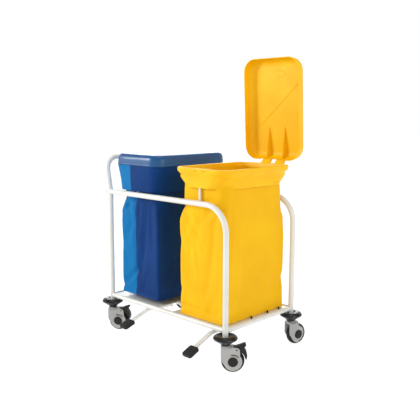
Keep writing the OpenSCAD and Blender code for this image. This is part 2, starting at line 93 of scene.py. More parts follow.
def add_world(horizon, zenith, fade_from=0.35, fade_to=0.6):
    """A white studio: bright round the horizon, dimmer overhead, so that shapes keep their shade.

    The fade runs between two heights on the unit sphere of directions.
    """
    world = bpy.data.worlds.new("studio")
    scene.world = world
    world.use_nodes = True
    tree = world.node_tree
    background = tree.nodes["Background"]
    background.inputs["Color"].default_value = (1, 1, 1, 1)
    place = tree.nodes.new("ShaderNodeTexCoord")
    height = tree.nodes.new("ShaderNodeSeparateXYZ")
    fade = tree.nodes.new("ShaderNodeMapRange")
    for socket, value in (("From Min", fade_from), ("From Max", fade_to), ("To Min", horizon),
                          ("To Max", zenith)):
        fade.inputs[socket].default_value = value
    tree.links.new(place.outputs["Generated"], height.inputs[0])
    tree.links.new(height.outputs["Z"], fade.inputs["Value"])
    tree.links.new(fade.outputs["Result"], background.inputs["Strength"])


# ---------------------------------------------------------------- materials

def rgb(red, green, blue):
    """A colour given in screen values, 0 to 255, as the linear one that shaders take."""
    def linear(v):
        v /= 255
        return v / 12.92 if v <= 0.04045 else ((v + 0.055) / 1.055) ** 2.4
    return linear(red), linear(green), linear(blue), 1.0


class Shader:
    """One material's node tree, with short calls for the nodes that the finishes below share."""

    def __init__(self, name, **sockets):
        self.material = bpy.data.materials.new(name)
        self.material.use_nodes = True
        self.tree = self.material.node_tree
        self.main = self.tree.nodes["Principled BSDF"]
        for socket, value in sockets.items():
            self.main.inputs[socket.replace("_", " ")].default_value = value
        self.place = self.add("ShaderNodeTexCoord").outputs["Object"]

    def add(self, kind, inputs=None, **settings):
        node = self.tree.nodes.new(kind)
        for key, value in settings.items():
            setattr(node, key, value)
        for key, value in (inputs or {}).items():
            if isinstance(value, bpy.types.NodeSocket):
                self.tree.links.new(value, node.inputs[key])
            else:
                node.inputs[key].default_value = value
        return node

    def join(self, output, socket):
        self.tree.links.new(output, self.main.inputs[socket])

    def maths(self, operation, a, b):
        return self.add("ShaderNodeMath", {0: a, 1: b}, operation=operation).outputs[0]

    def stretched(self, scale):
        return self.add("ShaderNodeMapping", {"Vector": self.place, "Scale": scale}).outputs[0]

    def cloud(self, scale, detail=3.0, place=None):
        inputs = {"Vector": place or self.place, "Scale": scale, "Detail": detail}
        return self.add("ShaderNodeTexNoise", inputs).outputs["Fac"]

    def span(self, value, low, high, to_low=0.0, to_high=1.0):
        inputs = {"Value": value, "From Min": low, "From Max": high, "To Min": to_low,
                  "To Max": to_high}
        return self.add("ShaderNodeMapRange", inputs).outputs["Result"]

    def blend(self, share, a, b):
        node = self.add("ShaderNodeMix", data_type="RGBA")
        for socket, value in ((node.inputs[0], share), (node.inputs[6], a), (node.inputs[7], b)):
            if isinstance(value, bpy.types.NodeSocket):
                self.tree.links.new(value, socket)
            else:
                socket.default_value = value
        return node.outputs[2]

    def bump(self, height, distance, strength=1.0, under=None):
        inputs = {"Height": height, "Distance": distance, "Strength": strength}
        if under:
            inputs["Normal"] = under
        return self.add("ShaderNodeBump", inputs).outputs["Normal"]


def plastic(name, colour, deep, rough, grain_mm=0.9, grain_depth=0.03, scuffs=0.5, **sockets):
    """Moulded plastic: a fine spark-eroded grain, faint clouds in the colour, and long scuffs."""
    s = Shader(name, **sockets)
    clouds = s.span(s.cloud(7, 4), 0.35, 0.7)
    scratch = s.cloud(60, 5, s.stretched((1.0, 9.0, 2.5)))
    scuff = s.span(scratch, 0.6, 0.72, 0, scuffs)
    s.join(s.blend(clouds, deep, colour), "Base Color")
    s.join(s.maths("ADD", s.span(clouds, 0, 1, rough + 0.06, rough - 0.03),
                   s.maths("MULTIPLY", scuff, 0.22)), "Roughness")
    grain = s.cloud(1 / (grain_mm * MM), 2)
    s.join(s.bump(scratch, 0.0002, 0.25, s.bump(grain, grain_depth * MM, 0.8)), "Normal")
    return s.material


def painted_steel(name, colour, warm):
    """Powder coat: orange peel, a little unevenness of colour, and dust towards the floor."""
    s = Shader(name, Coat_Weight=0.35, Coat_Roughness=0.18, IOR=1.5)
    height = s.add("ShaderNodeSeparateXYZ", {"Vector": s.place}).outputs["Z"]
    patchy = s.cloud(14, 5)
    dust = s.maths("MULTIPLY", s.span(height, 0.30, 0.12), s.span(patchy, 0.45, 0.75))
    base = s.blend(s.span(s.cloud(5, 2), 0.3, 0.7), colour, warm)
    s.join(s.blend(s.maths("MULTIPLY", dust, 0.35), base, rgb(168, 162, 148)), "Base Color")
    s.join(s.maths("ADD", s.span(patchy, 0.3, 0.7, 0.24, 0.36), s.maths("MULTIPLY", dust, 0.2)),
           "Roughness")
    s.join(s.bump(s.cloud(520, 2), 0.00006, 0.7), "Normal")
    return s.material


def plated(name, colour, rough):
    """Zinc plating: metal with fine turned lines and a faint bloom."""
    s = Shader(name, Metallic=1.0)
    lines = s.cloud(900, 3, s.stretched((1.0, 1.0, 0.05)))
    bloom = s.span(s.cloud(35, 4), 0.4, 0.7)
    s.join(s.blend(bloom, colour, rgb(150, 152, 150)), "Base Color")
    s.join(s.maths("ADD", s.span(lines, 0.3, 0.7, rough - 0.06, rough + 0.08),
                   s.maths("MULTIPLY", bloom, 0.1)), "Roughness")
    s.join(s.bump(lines, 0.00004, 0.5), "Normal")
    return s.material


def rubber(name, colour, grey, rough, lines=False):
    """Black rubber: matt, a pebbled skin, and a grey bloom where it is handled."""
    s = Shader(name, Specular_IOR_Level=0.35)
    bloom = s.span(s.cloud(45, 5), 0.48, 0.72)
    s.join(s.blend(s.maths("MULTIPLY", bloom, 0.5), colour, grey), "Base Color")
    s.join(s.span(bloom, 0, 1, rough, rough + 0.15), "Roughness")
    skin = s.bump(s.cloud(1300, 2), 0.00008, 0.8)
    if lines:
        skin = s.bump(s.cloud(240, 1, s.stretched((1.0, 1.0, 3.0))), 0.0002, 0.35, skin)
    s.join(skin, "Normal")
    return s.material


THREAD_PITCH = 1.3 * MM


def bag_cloth(name, colour, deep, rub, painted_lit_side=None):
    """Coated woven polyester: threads at right angles, faint clouds of shade, rubbed folds.

    A lit side, given as (x, colour), is painted light: a paler colour on the -X side of that x, painted in for the
    lit side of a fold, not a cloth of its own.
    """
    s = Shader(name, Sheen_Weight=0.03, Sheen_Roughness=0.4, Specular_IOR_Level=0.12)
    axes = s.add("ShaderNodeSeparateXYZ", {"Vector": s.place}).outputs
    across = s.maths("ADD", axes["X"], axes["Y"])
    cloth = s.add("ShaderNodeCombineXYZ", {"X": across, "Y": axes["Z"]}).outputs[0]
    thread = 2 * math.pi / (20 * THREAD_PITCH)
    waves = [s.add("ShaderNodeTexWave", {"Vector": cloth, "Scale": thread, "Distortion": 0.6,
                                         "Detail": 1.0}, bands_direction=d).outputs["Fac"]
             for d in ("X", "Y")]
    weave = s.maths("MULTIPLY", *waves)
    shade = s.span(s.cloud(4.5, 3), 0.3, 0.72)
    base = s.blend(shade, deep, colour)
    if painted_lit_side:
        # painted highlight: the -X side is painted paler where light falls on one side of a fold
        lit_edge_x, lit_colour = painted_lit_side
        base = s.blend(s.span(axes["X"], lit_edge_x + 1 * MM, lit_edge_x - 1 * MM), base, lit_colour)
    base = s.blend(s.span(weave, 0, 1, 0.10, 0.0), base, deep)
    rubbed = s.span(s.cloud(55, 6), 0.62, 0.75, 0, 0.35)
    s.join(s.blend(rubbed, base, rub), "Base Color")
    s.join(s.span(weave, 0, 1, 0.62, 0.48), "Roughness")
    ripple = s.bump(s.cloud(38, 4), 0.0022, 0.28)
    s.join(s.bump(weave, 0.00016, 0.9, ripple), "Normal")
    return s.material


YELLOW, YELLOW_DEEP = rgb(246, 195, 8), rgb(241, 181, 6)
BLUE, BLUE_DEEP = rgb(0, 80, 134), rgb(0, 66, 118)
MATERIALS = {
    "white_steel": painted_steel("white_powder_coat", rgb(226, 227, 224), rgb(222, 220, 210)),
    "yellow_plastic": plastic("yellow_moulding", YELLOW, YELLOW_DEEP, 0.42, Specular_IOR_Level=0.2,
                              Subsurface_Weight=0.04, Subsurface_Scale=0.01),
    "blue_plastic": plastic("blue_moulding", BLUE, BLUE_DEEP, 0.36, Specular_IOR_Level=0.4,
                            Coat_Weight=0.12),
    "yellow_fabric": bag_cloth("yellow_bag_cloth", rgb(245, 193, 10), rgb(238, 178, 8),
                               rgb(251, 206, 44)),
    # the blue cloth's paler -X side is painted light, the lit side of a fold, not a paler cloth
    "blue_fabric": bag_cloth("blue_bag_cloth", rgb(0, 58, 120), rgb(0, 46, 104),
                             rgb(4, 80, 142), painted_lit_side=(-0.232, rgb(0, 112, 172))),
    "zinc_steel": plated("zinc_plate", rgb(196, 198, 198), 0.32),
    "grey_plastic": plastic("grey_moulding", rgb(178, 177, 174), rgb(160, 159, 156), 0.38,
                            scuffs=0.8),
    "wheel_plastic": plastic("wheel_moulding", rgb(222, 222, 220), rgb(206, 206, 203), 0.42,
                             scuffs=0.6),
    "black_plastic": plastic("black_moulding", rgb(18, 17, 17), rgb(10, 10, 10), 0.4,
                             scuffs=0.8, Specular_IOR_Level=0.35),
    "bumper_plastic": plastic("bumper_moulding", rgb(6, 17, 22), rgb(3, 10, 13), 0.2,
                              grain_depth=0.01, scuffs=0.4, Specular_IOR_Level=0.4),
    "black_rubber": rubber("pad_rubber", rgb(16, 18, 16), rgb(40, 41, 39), 0.55),
    "tyre_rubber": rubber("tyre_rubber", rgb(13, 13, 13), rgb(44, 42, 40), 0.6, lines=True),
}


def dress_frame():
    """Every CAD node that stays in view takes the finish of its own material slot."""
    for part in frame["record"]["subparts"]:
        node = frame["nodes"][part["node"]]
        node.data.materials.clear()
        node.data.materials.append(MATERIALS[part["material_slot"]])


# ---------------------------------------------------------------- mesh helpers

def ring(half_x, half_y, corner, z, chamfer=0.0, steps=(12, 6)):
    """A rounded rectangle about the origin at height z; chamfer 1 cuts its corners straight."""
    corners = []
    for k, (sx, sy) in enumerate(((1, -1), (1, 1), (-1, 1), (-1, -1))):
        first, last = (Vector((math.cos(a), math.sin(a))) for a in
                       (math.radians(90 * k - 90), math.radians(90 * k)))
        row = []
        for i in range(steps[0] + 1):
            t = i / steps[0]
            a = math.radians(90 * (k + t) - 90)
            arc = Vector((math.cos(a), math.sin(a)))
            d = arc.lerp(first.lerp(last, t), chamfer) * corner
            row.append(Vector((sx * (half_x - corner) + d.x, sy * (half_y - corner) + d.y, z)))
        corners.append(row)
    points = []
    for k, row in enumerate(corners):
        points += row
        ahead = corners[(k + 1) % 4][0]
        points += [row[-1].lerp(ahead, j / steps[1]) for j in range(1, steps[1])]
    return points


def loft(rings, wrap=False, caps=(False, False), about=(0, 0, 0)):
    """A bmesh skinned over closed rings of equal count."""
    bm = bmesh.new()
    rows = [[bm.verts.new(Vector(about) + p) for p in points] for points in rings]
    pairs = list(zip(rows, rows[1:]))
    if wrap:
        pairs.append((rows[-1], rows[0]))
    count = len(rows[0])
    for low, high in pairs:
        for i in range(count):
            j = (i + 1) % count
            bm.faces.new((low[i], low[j], high[j], high[i]))
    for wanted, row in zip(caps, (rows[0], rows[-1])):
        if wanted:
            bm.faces.new(row)
    bmesh.ops.recalc_face_normals(bm, faces=bm.faces)
    return bm


def finish_piece(name, source, slot, body, nodes=(), sharp=35):
    """Turns a bmesh into a piece that rides on a body and stands for the given CAD nodes."""
    mesh = bpy.data.meshes.new(name)
    source.to_mesh(mesh)
    source.free()
    mesh.materials.append(MATERIALS[slot])
    mesh.shade_smooth()
    mesh.set_sharp_from_angle(angle=math.radians(sharp))
    piece = bpy.data.objects.new(name, mesh)
    scene.collection.objects.link(piece)
    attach(piece, body)
    if nodes:
        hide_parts(*nodes)
    return piece


def plate(outlines, thickness, bevel, steps=3):
    """A mesh plate from closed XY outlines, holes included, centred on Z, with rounded edges."""
    curve = bpy.data.curves.new("outline", "CURVE")
    curve.dimensions = "2D"
    curve.fill_mode = "BOTH"
    curve.extrude = thickness / 2 - bevel
    curve.bevel_depth = bevel
    curve.bevel_resolution = steps
    curve.offset = -bevel
    for outline in outlines:
        spline = curve.splines.new("POLY")
        spline.points.add(len(outline) - 1)
        for point, (x, y) in zip(spline.points, outline):
            point.co = (x, y, 0, 1)
        spline.use_cyclic_u = True
    holder = bpy.data.objects.new("outline", curve)
    scene.collection.objects.link(holder)
    bpy.context.view_layer.update()
    mesh = bpy.data.meshes.new_from_object(holder.evaluated_get(
        bpy.context.evaluated_depsgraph_get()))
    bpy.data.objects.remove(holder)
    bm = bmesh.new()
    bm.from_mesh(mesh)
    bmesh.ops.remove_doubles(bm, verts=bm.verts, dist=1e-6)
    bmesh.ops.recalc_face_normals(bm, faces=bm.faces)
    return bm


def merge(parts):
    """Joins (bmesh, matrix) pairs into one bmesh."""
    whole = bpy.data.meshes.new("merged")
    joined = bmesh.new()
    for bm, matrix in parts:
        bmesh.ops.transform(bm, matrix=matrix, verts=bm.verts)
        if matrix.determinant() < 0:
            bmesh.ops.reverse_faces(bm, faces=bm.faces)
        bm.to_mesh(whole)
        bm.free()
        joined.from_mesh(whole)
    bpy.data.meshes.remove(whole)
    return joined


def arc(cx, cy, r, start, end, count):
    """Points along an arc, in degrees, end included."""
    turns = [math.radians(start + (end - start) * i / count) for i in range(count + 1)]
    return [(cx + r * math.cos(a), cy + r * math.sin(a)) for a in turns]


def rounded_outline(points, radius, count=5):
    """A closed polygon with each corner replaced by an arc-like curve."""
    out = []
    size = len(points)
    for i, point in enumerate(points):
        p = Vector(point)
        before, after = Vector(points[i - 1]) - p, Vector(points[(i + 1) % size]) - p
        cut = min(radius, before.length * 0.45, after.length * 0.45)
        a, b = p + before.normalized() * cut, p + after.normalized() * cut
        for k in range(count + 1):
            t = k / count
            q = a.lerp(p, t).lerp(p.lerp(b, t), t)
            out.append((q.x, q.y))
    return out


def tube_along(points, radius, sides=10, closed=False):
    """A bmesh tube of round section along points."""
    count = len(points)
    bm = bmesh.new()
    rows = []
    side = Vector((0, 0, 1))
    for i, p in enumerate(points):
        before = points[i - 1] if closed or i else points[0]
        after = points[(i + 1) % count] if closed or i < count - 1 else points[-1]
        along = (after - before).normalized()
        u = along.cross(side)
        if u.length < 0.1:
            u = along.cross(Vector((1, 0, 0)))
        u.normalize()
        v = along.cross(u)
        rows.append([bm.verts.new(p + radius * (u * math.cos(a) + v * math.sin(a)))
                     for a in (2 * math.pi * k / sides for k in range(sides))])
    pairs = list(zip(rows, rows[1:])) + ([(rows[-1], rows[0])] if closed else [])
    for low, high in pairs:
        for k in range(sides):
            m = (k + 1) % sides
            bm.faces.new((low[k], low[m], high[m], high[k]))
    if not closed:
        bm.faces.new(rows[0])
        bm.faces.new(rows[-1])
    bmesh.ops.recalc_face_normals(bm, faces=bm.faces)
    return bm


# Plates are drawn in XY and then stood up: ACROSS turns XY into XZ, ALONG_X turns XY into YZ
ACROSS = Matrix.Rotation(math.radians(90), 4, "X")
ALONG_X = Matrix(((0, 0, 1, 0), (1, 0, 0, 0), (0, 1, 0, 0), (0, 0, 0, 1)))


# ---------------------------------------------------------------- units

def unit_centre(colour):
    lo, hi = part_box(f"{colour}_collar")
    return (lo + hi) / 2


UNITS = {colour: unit_centre(colour) for colour in ("yellow", "blue")}
HINGE = {colour: Vector(JOINTS[f"{colour}_lid_hinge"]["pos_m"]) for colour in UNITS}


def rest_turn(joint):
    """How far a limited joint already stands from its low end at rest, in degrees."""
    return -min(JOINTS[joint]["range_deg"])


# ---------------------------------------------------------------- collars

COLLAR_WALL_HALF = (150 * MM, 226 * MM)
LIP_OUT = (10 * MM, 7 * MM)
COLLAR_FACET = 0.45     # how far a corner is cut straight at the collar's lower edge


def collar_rings(lo_z, hi_z):
    """Outside from the lower edge up to the lip, over it, and down inside the throat."""
    hx, hy = COLLAR_WALL_HALF
    ox, oy = LIP_OUT
    wall = 3 * MM
    slope_z, band_z = hi_z - 38 * MM, hi_z - 13 * MM
    start_z = lo_z + 3 * MM
    outside = []
    for inset, up in ((2.6, 0), (1.2, 0.3), (0.4, 1.1), (0, 2.4)):
        outside.append(ring(hx - inset * MM, hy - inset * MM, (95 - inset) * MM, lo_z + up * MM,
                            COLLAR_FACET))
    for i in range(1, 9):
        t = i / 8
        outside.append(ring(hx, hy, (95 - 27 * t) * MM, start_z + t * (slope_z - start_z),
                            COLLAR_FACET * (1 - 0.6 * t)))
    for i in range(1, 13):
        t = i / 12
        out = t * t * (3 - 2 * t)
        outside.append(ring(hx + ox * out, hy + oy * out, (68 - 8 * out) * MM,
                            slope_z + t * (band_z - slope_z), COLLAR_FACET * 0.4 * (1 - t)))
    top = []
    for degrees in range(0, 91, 10):
        a = math.radians(degrees)
        r = 3 * MM
        top.append(ring(hx + ox - r * (1 - math.cos(a)), hy + oy - r * (1 - math.cos(a)),
                        60 * MM - r * (1 - math.cos(a)), hi_z - r + r * math.sin(a)))
    inner = []
    for inset, drop, corner in ((11, 0, 50), (12.4, 0.3, 49), (13.6, 1.2, 48), (14.4, 3, 47),
                                (15.4, 8, 47), (16.5, 15, 48), (17, 20, 48)):
        inner.append(ring(hx + ox - inset * MM, hy + oy - (inset - 1.5) * MM, corner * MM,
                          hi_z - drop * MM))
    throat = []
    for t in (0.0, 0.35, 0.7, 1.0):
        throat.append(ring(hx - wall - 1 * MM, hy - wall - 1 * MM, (50 + 42 * t) * MM,
                           slope_z - 4 * MM - t * (slope_z - 4 * MM - lo_z), COLLAR_FACET * t))
    return outside + top + inner + throat


def carve(bm, boxes):
    """Takes rounded slots, given as (centre, half sizes), out of a closed bmesh."""
    parts = []
    for centre, half in boxes:
        slot = bmesh.new()
        bmesh.ops.create_cube(slot, size=2)
        bmesh.ops.scale(slot, vec=half, verts=slot.verts)
        bmesh.ops.bevel(slot, geom=slot.edges[:], offset=min(half) * 0.6, segments=3,
                        affect="EDGES")
        parts.append((slot, Matrix.Translation(centre)))
    objects = []
    for source in (bm, merge(parts)):
        mesh = bpy.data.meshes.new("carving")
        source.to_mesh(mesh)
        source.free()
        objects.append(bpy.data.objects.new("carving", mesh))
        scene.collection.objects.link(objects[-1])
    subject, cutter = objects
    modifier = subject.modifiers.new("slots", "BOOLEAN")
    modifier.object = cutter
    modifier.operation = "DIFFERENCE"
    modifier.solver = "EXACT"
    bpy.context.view_layer.update()
    carved = bpy.data.meshes.new_from_object(
        subject.evaluated_get(bpy.context.evaluated_depsgraph_get()))
    for holder in objects:
        bpy.data.objects.remove(holder)
    bm = bmesh.new()
    bm.from_mesh(carved)
    bpy.data.meshes.remove(carved)
    return bm


def add_collar(colour):
    centre = UNITS[colour]
    lo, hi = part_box(f"{colour}_collar")
    bm = loft(collar_rings(lo.z, hi.z), wrap=True, about=(centre.x, centre.y, 0))
    slots = []
    for dx in (-12, 38):
        at = Vector((centre.x + dx * MM, lo.y, hi.z - 10 * MM))
        slots.append((at, (7 * MM, 6 * MM, 1.8 * MM)))
    for dy in (20, 62):
        at = Vector((hi.x - 8 * MM, centre.y + dy * MM, hi.z))
        slots.append((at, (2 * MM, 9 * MM, 4 * MM)))
    # the long notch low on the outer side
    at = Vector((centre.x + COLLAR_WALL_HALF[0], centre.y + 136 * MM, lo.z + 12 * MM))
    slots.append((at, (2 * MM, 30 * MM, 3 * MM)))
    return finish_piece(f"{colour}_collar_moulding", carve(bm, slots), f"{colour}_plastic",
                        "frame", [f"{colour}_collar"], sharp=14)


# ---------------------------------------------------------------- lids

LID_HALF = (164.5 * MM, 239.5 * MM)
LID_CORNER = 65 * MM
LID_WALL = 3 * MM
LID_CENTRE_Y = 7.5 * MM
LID_DEPTH = 51 * MM
BARREL_R = 8 * MM
BARREL_HALF = 65 * MM
NOTCH_HALF = 17 * MM


def lid_ring(inset, z):
    hx, hy = LID_HALF
    return ring(hx - inset, hy - inset, max(LID_CORNER - inset, 12 * MM), z)


def lid_rings(base):
    """From the middle of the ceiling out and down inside, round the rim, and up over the top."""
    top = base + LID_DEPTH
    ceiling = top - LID_WALL
    rings = [lid_ring(inset * MM, ceiling) for inset in (128, 96, 64, 46, 37)]
    for degrees in range(84, -1, -12):
        a = math.radians(degrees)
        rings.append(lid_ring((34 - 27.5 * math.cos(a)) * MM,
                              base + 22 * MM + (LID_DEPTH - LID_WALL - 22 * MM) * math.sin(a)))
    for inset, up in ((4.2, 12), (LID_WALL / MM, 3), (LID_WALL / MM, 0.4), (LID_WALL / MM - 0.8, 0),
                      (0.8, 0), (0.2, 0.3), (0, 0.9), (0, 4.6), (0.3, 5.3), (0.8, 5.8), (1.0, 7),
                      (1.1, 12)):
        rings.append(lid_ring(inset * MM, base + up * MM))
    for degrees in range(0, 91, 9):
        a = math.radians(degrees)
        rings.append(lid_ring((24 - 21.5 * math.cos(a)) * MM,
                              base + 23 * MM + (LID_DEPTH - 23 * MM) * math.sin(a)))
    rings += [lid_ring(inset * MM, top) for inset in (34, 46, 64, 96, 128)]
    return rings


def gusset(length, height, thick_low, thick_high):
    """A tapering fin along -Y from the origin, hanging down, thicker at its root above."""
    bm = bmesh.new()
    steps = 14
    rows = []
    for i in range(steps + 1):
        t = i / steps
        drop = height * (1 - t) ** 0.75 + 0.4 * MM
        low, high = thick_low / 2 * (1 - 0.6 * t), thick_high / 2 * (1 - 0.8 * t)
        y = -length * t
        rows.append([bm.verts.new(p) for p in ((-high, y, 0), (-low, y, -drop + low),
                                               (0, y, -drop), (low, y, -drop + low),
                                               (high, y, 0))])
    for a, b in zip(rows, rows[1:]):
        for k in range(5):
            m = (k + 1) % 5
            bm.faces.new((a[k], a[m], b[m], b[k]))
    bm.faces.new(rows[0])
    bm.faces.new(rows[-1])
    bmesh.ops.recalc_face_normals(bm, faces=bm.faces)
    return bm


def finger_mark():
    """A raised line round a leaf-shaped pad, open at its blunt end, on the lid's ceiling."""
    points = [Vector((x * MM, y * MM, 0)) for x, y in
              ((-26, 12), (-14, 14.5), (-2, 14), (12, 10), (25, 3), (33, -1), (24, -6), (10, -12),
               (-4, -16), (-16, -16), (-27, -14.5))]
    smooth = []
    for i, p in enumerate(points[:-1]):
        smooth += [p.lerp(points[i + 1], t) for t in (0, 0.5)]
    return tube_along(smooth + [points[-1]], 1.5 * MM, 10)


def hinge_knuckle(rear, low, hinge, width):
    """Half of the hinge block: the web slanting down from the lid to its barrel, drawn in YZ."""
    web = rear - 5 * MM
    outline = [(web, low + 1.2 * MM)] + arc(hinge.y, hinge.z, BARREL_R, 225, 405, 24)
    outline += [(web, low + 17 * MM)]
    return plate([outline, arc(hinge.y, hinge.z, 3.05 * MM, 0, 345, 23)], width, 1.0 * MM)


def crank_cheek(hinge, width):
    """The plate beside the notch that carries the lift pin, drawn in YZ."""
    lo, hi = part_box("blue_lift_pin")
    pin = (lo + hi) / 2
    along = math.degrees(math.atan2(pin.z - hinge.z, pin.y - hinge.y))
    outline = arc(pin.y, pin.z, 6 * MM, along - 90, along + 90, 12)
    outline += arc(hinge.y, hinge.z, 6 * MM, along + 90, along + 270, 12)
    return plate([outline], width, 0.8 * MM)


def add_lid(colour):
    """The lid drawn closed, then swung to how far its joint stands open at rest."""
    centre_x = UNITS[colour].x
    hinge = HINGE[colour]
    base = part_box("blue_lid")[1].z - LID_DEPTH
    rear = LID_CENTRE_Y + LID_HALF[1]
    ceiling = base + LID_DEPTH - LID_WALL
    middle = Matrix.Translation((centre_x, LID_CENTRE_Y, 0))
    gap_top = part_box("blue_collar")[1].z + 6 * MM
    gap = (Vector((0, LID_HALF[1], gap_top - 15 * MM)), (76 * MM, 8 * MM, 15 * MM))
    parts = [(carve(loft(lid_rings(base), caps=(True, True)), [gap]), middle)]
    for side in (-1, 1):
        place = Matrix.Translation((centre_x + side * 47 * MM, rear - 7 * MM, ceiling + 0.5 * MM))
        parts.append((gusset(150 * MM, 30 * MM, 4 * MM, 12 * MM), place))
        mid = centre_x + side * (BARREL_HALF + NOTCH_HALF) / 2
        parts.append((hinge_knuckle(rear, gap_top, hinge, BARREL_HALF - NOTCH_HALF),
                      Matrix.Translation((mid, 0, 0)) @ ALONG_X))
        parts.append((crank_cheek(hinge, 6 * MM),
                      Matrix.Translation((centre_x + side * (NOTCH_HALF + 3 * MM), 0, 0)) @ ALONG_X))
    # a leaf-shaped finger mark near the front, and a fine moulding line across the ceiling
    mark_place = Matrix.Translation((centre_x + 24 * MM, hinge.y - 432 * MM, ceiling))
    parts.append((finger_mark(), mark_place))
    line = [Vector((centre_x - 100 * MM + 226 * MM * t, hinge.y - 191 * MM - 194 * MM * t,
                    ceiling + 0.5 * MM)) for t in (0, 0.25, 0.5, 0.75, 1)]
    parts.append((tube_along(line, 2.2 * MM, 8), Matrix.Identity(4)))
    whole = merge(parts)
    turn = rest_turn(f"{colour}_lid_hinge")
    swing = (Matrix.Translation(hinge) @ Matrix.Rotation(math.radians(-turn), 4, "X")
             @ Matrix.Translation(-hinge))
    bmesh.ops.transform(whole, matrix=swing, verts=whole.verts)
    return finish_piece(f"{colour}_lid_moulding", whole, f"{colour}_plastic", f"{colour}_lid",
                        [f"{colour}_lid"], sharp=28)


# ---------------------------------------------------------------- bags

BAG_COLUMNS = 156
BAG_ROW = 8.5 * MM
BAG_HALF_X, BAG_HALF_Y, BAG_CORNER = 141.8, 210.6, 20    # in mm, where the bag is fullest
BAG_MAX_X, BAG_MAX_Y = 146 * MM, 213.5 * MM
NECK_MAX_Y = 203.3 * MM
NECK_LOW, NECK_TOP = 685 * MM, 800 * MM    # where the bag is held in by the collar
HEM_ROWS = 8            # rows of the profile that go over the hoop


def even_ring(half_x, half_y, corner, z):
    """A rounded rectangle with evenly spaced points, starting at the middle of the +X side."""
    dense = ring(half_x, half_y, corner, z, steps=(24, 40))
    start = min(range(len(dense)), key=lambda i: (dense[i].x < 0, abs(dense[i].y)))
    dense = dense[start:] + dense[:start]
    lengths = [(dense[(i + 1) % len(dense)] - p).length for i, p in enumerate(dense)]
    total = sum(lengths)
    points, i, walked = [], 0, 0.0
    for k in range(BAG_COLUMNS):
        goal = total * k / BAG_COLUMNS
        while walked + lengths[i] < goal:
            walked += lengths[i]
            i += 1
        t = (goal - walked) / lengths[i]
        points.append(dense[i].lerp(dense[(i + 1) % len(dense)], t))
    return points


def bag_profile(bottom):
    """(half x, half y, corner, z) down a bag: over the hoop, the neck, the body and the foot."""
    hoop_lo, hoop_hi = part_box("bag_hoops")
    hoop_z = (hoop_lo.z + hoop_hi.z) / 2
    rows = [(144.7, 214.2, 79, 0.5), (144.2, 213.7, 79, 2), (142.8, 212.3, 78, 3.4),
            (141.0, 210.5, 77, 3.9), (139.2, 208.7, 76, 3.4), (138.2, 206.8, 75, 1.4),
            (138.4, 205.0, 71, -2), (138.6, 203.0, 66, -7)]
    rows = [(a * MM, b * MM, c * MM, hoop_z + d * MM) for a, b, c, d in rows]
    neck_z, full_z = 691 * MM, 612 * MM
    z = rows[-1][3]
    count = math.ceil((z - bottom) / BAG_ROW)
    for i in range(1, count + 1):
        h = z + (bottom - z) * i / count
        if h > neck_z:
            t = (z - h) / (z - neck_z)
            rows.append((138.8 * MM, 202.6 * MM, (64 - 14 * t) * MM, h))
        elif h > full_z:
            t = (neck_z - h) / (neck_z - full_z)
            t = t * t * (3 - 2 * t)
            rows.append(((138.8 + 3 * t) * MM, (202.6 + 8 * t) * MM, (50 - 30 * t) * MM, h))
        else:
            t = (full_z - h) / (full_z - bottom)
            rows.append(((BAG_HALF_X - 1.5 * t) * MM, (BAG_HALF_Y - 3 * t) * MM,
                         (BAG_CORNER - 3 * t) * MM, h))
    return rows


def add_bag(colour):
    """The bag at its cut size, with its long folds pressed in, then settled as cloth."""
    centre = UNITS[colour]
    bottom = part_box(f"{colour}_bag")[0].z + 1.2 * MM
    rows = bag_profile(bottom)
    rings = [even_ring(*row) for row in rows]
    half_x, half_y, corner, z = rows[-1]
    for inset in range(9, 126, 9):
        rings.append(even_ring(half_x - inset * MM, half_y - inset * MM,
                               max(corner - inset * MM, 6 * MM), z))
    bm = loft(rings, caps=(False, True), about=(centre.x, 0, 0))
    area = sum(face.calc_area() for face in bm.faces)
    piece = finish_piece(f"{colour}_bag_cloth", bm, f"{colour}_fabric", "frame",
                         [f"{colour}_bag"], sharp=60)
    if sum(v.normal.x * (v.co.x - centre.x) for v in piece.data.vertices) < 0:
        piece.data.flip_normals()
    fold_cloth(piece, colour, centre, bottom)
    hem_z = rows[HEM_ROWS - 1][3]
    hang(piece, hem_z - 2 * MM, colour, -0.1, -0.06, centre, bottom + 4 * MM)
    keep_clear(piece, centre.x, bottom)
    return piece


FOLD_TOP, TOP_FADE, FOOT_FADE = 735, 50, 25    # in mm: the folds fade out at hoop and foot
FOLD_DEEPEN = 1.6                              # every depth below is multiplied by this
# long folds of each bag, in mm: side, start, end, depth and half width
FOLDS = {
    "yellow": [("front", (-130, 690), (-20, 560), 7, 26), ("front", (40, 680), (-70, 500), 7, 34),
               ("front", (-134, 520), (-40, 400), 6, 40), ("front", (70, 560), (30, 330), 5, 30),
               ("front", (-130, 300), (50, 330), 4, 26), ("front", (-120, 232), (90, 222), 6, 16),
               ("front", (120, 700), (60, 620), 6, 22), ("right", (-190, 640), (-60, 500), 3, 40),
               ("right", (203, 640), (120, 470), 7, 45), ("right", (205, 330), (60, 260), 5, 40),
               ("right", (-200, 300), (-40, 230), 4, 30)],
    "blue": [("front", (-120, 700), (-60, 600), 8, 24), ("front", (-32, 700), (-32, 250), 7, 12),
             ("front", (-100, 640), (-20, 690), 7, 20), ("front", (-60, 560), (-134, 430), 6, 30),
             ("front", (-32, 330), (-136, 236), 8, 22), ("front", (60, 640), (20, 420), 5, 36),
             ("right", (-190, 640), (-60, 500), 4, 40), ("right", (60, 330), (190, 250), 5, 40)],
}


